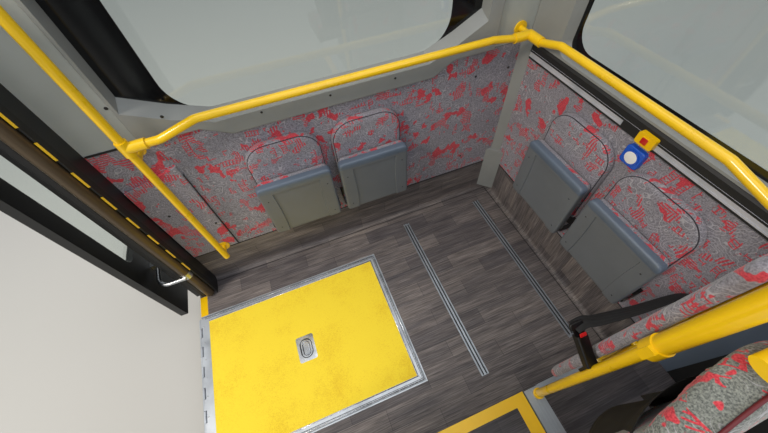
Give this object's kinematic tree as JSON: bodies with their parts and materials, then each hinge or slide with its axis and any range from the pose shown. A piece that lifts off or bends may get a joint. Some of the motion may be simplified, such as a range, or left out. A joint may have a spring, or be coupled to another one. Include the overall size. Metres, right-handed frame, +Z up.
{
  "type": "minibus rear wheelchair bay",
  "caption": "Rear wheelchair bay of a low floor minibus: floor and walls, doorway with fold-out ramp, tip-up seats, handrails and back board.",
  "frame": {"origin": "underside of the door sill beam, level with the step edge line and the doorway edge of the floor", "axes": "+X across the vehicle from the doorway to the far side wall, +Y to the rear wall, +Z up"},
  "size_m": [2.453, 2.435, 2.1],
  "materials": {
    "frame_paint": "satin",
    "body_paint": "gloss",
    "vinyl_floor": "wood-look planks, satin",
    "yellow_paint": "gloss",
    "yellow_grit": "gritted",
    "aluminium": "anodised",
    "grey_plastic": "fine texture",
    "seat_plastic": "satin",
    "moquette": "grey with red pattern",
    "first_seat_cloth": "grey speckle with red pattern",
    "black_rubber": "matt",
    "black_paint": "satin",
    "bronze_paint": "satin",
    "bright_steel": "polished",
    "zinc_steel": "zinc plated",
    "window_glass": "clear",
    "belt_web": "woven",
    "black_plastic": "satin",
    "blue_plastic": "gloss",
    "yellow_plastic": "gloss"
  },
  "bodies": {
    "bay": {"underframe": "frame_paint", "step_frame": "frame_paint", "floor_deck": "vinyl_floor", "threshold_strips": "yellow_grit", "floor_rails": "aluminium", "raised_deck": "vinyl_floor", "step_nosing": "yellow_paint", "seat_row_edge": "aluminium", "skirting": "vinyl_floor", "ramp_tray": "zinc_steel", "rear_wall": "body_paint", "side_wall": "body_paint", "rear_lining": "moquette", "rear_box_panel": "moquette", "side_lining": "moquette", "rear_window_trim": "grey_plastic", "rear_glass": "window_glass", "rear_covers": "grey_plastic", "corner_trim": "grey_plastic", "side_strip": "aluminium", "side_seal": "black_rubber", "side_window_trim": "grey_plastic", "side_glass": "window_glass", "door_posts": "black_paint", "door_seals": "black_rubber", "door_columns": "bronze_paint", "door_arms": "bright_steel", "door_leaves": "black_paint", "door_glass": "window_glass", "rear_rail": "yellow_paint", "side_rail": "yellow_paint", "door_pole": "yellow_paint", "rail_fittings": "yellow_paint", "seat_mounts": "zinc_steel", "stanchion": "yellow_paint", "back_board": "moquette", "belt_strap": "belt_web", "belt_buckle": "black_plastic", "wheelchair_button": "blue_plastic", "stop_button": "yellow_plastic", "first_seat_back": "first_seat_cloth", "first_seat_cushion": "first_seat_cloth", "first_seat_frame": "black_paint", "first_seat_handle": "yellow_plastic", "rear_seat_1_back": "moquette", "rear_seat_2_back": "moquette", "side_seat_1_back": "moquette", "side_seat_2_back": "moquette"},
    "ramp": {"ramp_edge": "aluminium", "ramp_board": "yellow_grit", "ramp_handle": "aluminium"},
    "rear_seat_1_pan": {"rear_seat_1_shell": "seat_plastic", "rear_seat_1_cushion": "moquette"},
    "rear_seat_2_pan": {"rear_seat_2_shell": "seat_plastic", "rear_seat_2_cushion": "moquette"},
    "side_seat_1_pan": {"side_seat_1_shell": "seat_plastic", "side_seat_1_cushion": "moquette"},
    "side_seat_2_pan": {"side_seat_2_shell": "seat_plastic", "side_seat_2_cushion": "moquette"}
  },
  "joints": [
    {"name": "ramp_hinge", "type": "hinge", "parent": "bay", "child": "ramp", "pos_m": [-0.009, 0.6795, 0.191], "axis": [0, -1, 0], "range_deg": [0, 188]},
    {"name": "rear_seat_1_fold", "type": "hinge", "parent": "bay", "child": "rear_seat_1_pan", "pos_m": [0.862, 1.29, 0.655], "axis": [1, 0, 0], "range_deg": [0, 90], "stiffness_Nm_per_rad": 9, "springref_deg": -28.65},
    {"name": "rear_seat_2_fold", "type": "hinge", "parent": "bay", "child": "rear_seat_2_pan", "pos_m": [1.305, 1.29, 0.655], "axis": [1, 0, 0], "range_deg": [0, 90], "stiffness_Nm_per_rad": 9, "springref_deg": -28.65},
    {"name": "side_seat_1_fold", "type": "hinge", "parent": "bay", "child": "side_seat_1_pan", "pos_m": [2.165, 0.363, 0.655], "axis": [0, -1, 0], "range_deg": [0, 90], "stiffness_Nm_per_rad": 9, "springref_deg": -28.65},
    {"name": "side_seat_2_fold", "type": "hinge", "parent": "bay", "child": "side_seat_2_pan", "pos_m": [2.165, 0.808, 0.655], "axis": [0, -1, 0], "range_deg": [0, 90], "stiffness_Nm_per_rad": 9, "springref_deg": -28.65}
  ]
}
